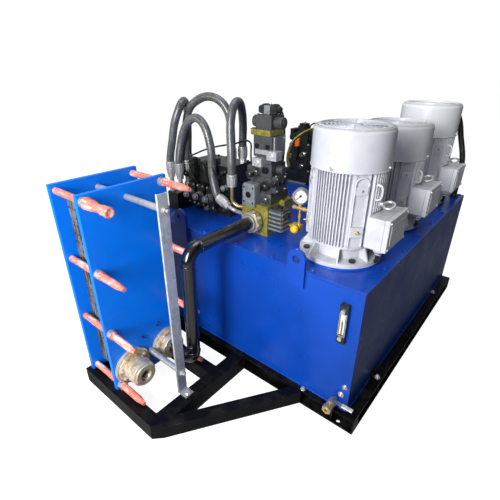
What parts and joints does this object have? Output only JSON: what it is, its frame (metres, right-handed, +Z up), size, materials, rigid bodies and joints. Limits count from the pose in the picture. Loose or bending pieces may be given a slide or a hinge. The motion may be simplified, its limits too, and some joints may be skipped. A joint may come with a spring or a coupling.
{
  "type": "hydraulic power unit",
  "caption": "Skid-mounted hydraulic power unit: blue oil tank, vertical flange motors over submerged gear pumps, valve manifolds with arched hoses, and a plate heat exchanger on an outrigger.",
  "frame": {"origin": "middle of the bounding box's footprint, on the floor under the skid", "axes": "+X runs right along the tank's front face, +Y runs back from the heat exchanger along the row of motors, +Z is up"},
  "size_m": [1.358, 2.107, 1.2936],
  "materials": {
    "tank_paint": "gloss royal blue",
    "skid_paint": "gloss black",
    "pipe_paint": "gloss black",
    "exchanger_paint": "semi-gloss azure",
    "motor_paint": "semi-gloss off-white",
    "cowl_paint": "semi-gloss off-white",
    "stainless_plates": "pressed stainless",
    "stainless_port": "turned stainless",
    "zinc_steel": "zinc plated",
    "galvanised_column": "galvanised",
    "sleeve_plastic": "translucent salmon",
    "yellow_zinc_block": "yellow passivated",
    "valve_iron": "phosphated",
    "black_iron": "black painted",
    "coil_plastic": "moulded",
    "cartridge_steel": "zinc plated",
    "knob_black": "moulded",
    "knob_yellow": "moulded",
    "brass": "machined",
    "lever_steel": "zinc plated",
    "gauge_case": "bright steel",
    "needle_black": "matt",
    "level_body": "moulded",
    "level_glass": "clear",
    "hose_rubber": "cloth-marked rubber",
    "gasket_rubber": "oil-proof rubber",
    "pump_aluminium": "cast",
    "pump_iron": "cast",
    "strainer_steel": "wire mesh",
    "machined_steel": "machined",
    "core_steel": "laminated",
    "fan_plastic": "moulded"
  },
  "bodies": {
    "frame": {"skid_frame": "skid_paint", "tank_shell": "tank_paint", "tank_lid": "tank_paint", "lid_gasket": "gasket_rubber", "lifting_lugs": "tank_paint", "clean_out_cover": "tank_paint", "level_gauge_body": "level_body", "level_gauge_window": "level_glass", "drain_valve_body": "brass", "motor_housing_1": "motor_paint", "motor_housing_2": "motor_paint", "motor_housing_3": "motor_paint", "fan_cowl_1": "cowl_paint", "fan_cowl_2": "cowl_paint", "fan_cowl_3": "cowl_paint", "motor_end_shields": "motor_paint", "terminal_boxes": "motor_paint", "stator_cores": "core_steel", "motor_bearings": "machined_steel", "bell_housings": "pump_aluminium", "pump_bodies": "pump_iron", "suction_strainers": "strainer_steel", "fasteners": "zinc_steel", "cooler_frame_plate": "exchanger_paint", "cooler_pressure_plate": "exchanger_paint", "plate_pack": "stainless_plates", "cooler_bars_and_tie_bolts": "zinc_steel", "cooler_column": "galvanised_column", "tie_bolt_sleeves": "sleeve_plastic", "cooler_ports": "stainless_port", "return_pipe": "pipe_paint", "manifold_blocks": "yellow_zinc_block", "valve_bodies": "valve_iron", "solenoid_coils": "coil_plastic", "cartridge_valves": "cartridge_steel", "pressure_gauge": "gauge_case", "gauge_fittings": "brass", "rear_manifold": "black_iron", "rear_valves": "black_iron", "hoses": "hose_rubber", "hose_fittings": "zinc_steel"},
    "rotor_1": {"motor_rotor_1": "machined_steel", "cooling_fan_1": "fan_plastic", "pump_drive_gear_1": "machined_steel"},
    "idler_1": {"pump_idler_gear_1": "machined_steel"},
    "rotor_2": {"motor_rotor_2": "machined_steel", "cooling_fan_2": "fan_plastic", "pump_drive_gear_2": "machined_steel"},
    "idler_2": {"pump_idler_gear_2": "machined_steel"},
    "rotor_3": {"motor_rotor_3": "machined_steel", "cooling_fan_3": "fan_plastic", "pump_drive_gear_3": "machined_steel"},
    "idler_3": {"pump_idler_gear_3": "machined_steel"},
    "drain_lever": {"drain_lever": "lever_steel"},
    "breather_cap": {"breather_cap": "knob_black"},
    "relief_knob": {"relief_knob": "knob_black"},
    "gauge_needle": {"gauge_needle": "needle_black"},
    "gauge_valve_knob": {"gauge_valve_knob": "knob_yellow"},
    "override_button_left": {"override_button_left": "knob_black"},
    "override_button_right": {"override_button_right": "knob_black"}
  },
  "joints": [
    {"name": "rotor_1_spin", "type": "hinge", "parent": "frame", "child": "rotor_1", "pos_m": [0.3945, -0.2165, 0.688], "axis": [0, 0, 1], "continuous": true},
    {"name": "idler_1_spin", "type": "hinge", "parent": "frame", "child": "idler_1", "pos_m": [0.3945, -0.1685, 0.4275], "axis": [0, 0, 1], "continuous": true},
    {"name": "rotor_2_spin", "type": "hinge", "parent": "frame", "child": "rotor_2", "pos_m": [0.3945, 0.2695, 0.688], "axis": [0, 0, 1], "continuous": true},
    {"name": "idler_2_spin", "type": "hinge", "parent": "frame", "child": "idler_2", "pos_m": [0.3945, 0.3175, 0.4275], "axis": [0, 0, 1], "continuous": true},
    {"name": "rotor_3_spin", "type": "hinge", "parent": "frame", "child": "rotor_3", "pos_m": [0.3945, 0.7555, 0.688], "axis": [0, 0, 1], "continuous": true},
    {"name": "idler_3_spin", "type": "hinge", "parent": "frame", "child": "idler_3", "pos_m": [0.3945, 0.8035, 0.4275], "axis": [0, 0, 1], "continuous": true},
    {"name": "drain_lever_turn", "type": "hinge", "parent": "frame", "child": "drain_lever", "pos_m": [0.573, -0.5115, 0.118], "axis": [0, 0, -1], "range_deg": [0, 90]},
    {"name": "breather_cap_lift", "type": "slide", "parent": "frame", "child": "breather_cap", "axis": [0, 0, 1], "range_m": [0, 0.06]},
    {"name": "relief_knob_turn", "type": "hinge", "parent": "frame", "child": "relief_knob", "pos_m": [-0.038, -0.3115, 0.971], "axis": [0, 1, 0], "range_deg": [0, 360]},
    {"name": "gauge_needle_sweep", "type": "hinge", "parent": "frame", "child": "gauge_needle", "pos_m": [0.174, -0.2105, 0.887], "axis": [-0.3746, 0.9272, 0], "range_deg": [0, 270]},
    {"name": "gauge_valve_knob_turn", "type": "hinge", "parent": "frame", "child": "gauge_valve_knob", "pos_m": [0.174, -0.2285, 0.735], "axis": [0, 1, 0], "range_deg": [0, 360]},
    {"name": "override_left_press", "type": "slide", "parent": "frame", "child": "override_button_left", "axis": [1, 0, 0], "range_m": [0, 0.003]},
    {"name": "override_right_press", "type": "slide", "parent": "frame", "child": "override_button_right", "axis": [-1, 0, 0], "range_m": [0, 0.003]}
  ],
  "couplings": [
    {"joint": "idler_1_spin", "follows": "rotor_1_spin", "ratio": -1},
    {"joint": "idler_2_spin", "follows": "rotor_2_spin", "ratio": -1},
    {"joint": "idler_3_spin", "follows": "rotor_3_spin", "ratio": -1}
  ]
}
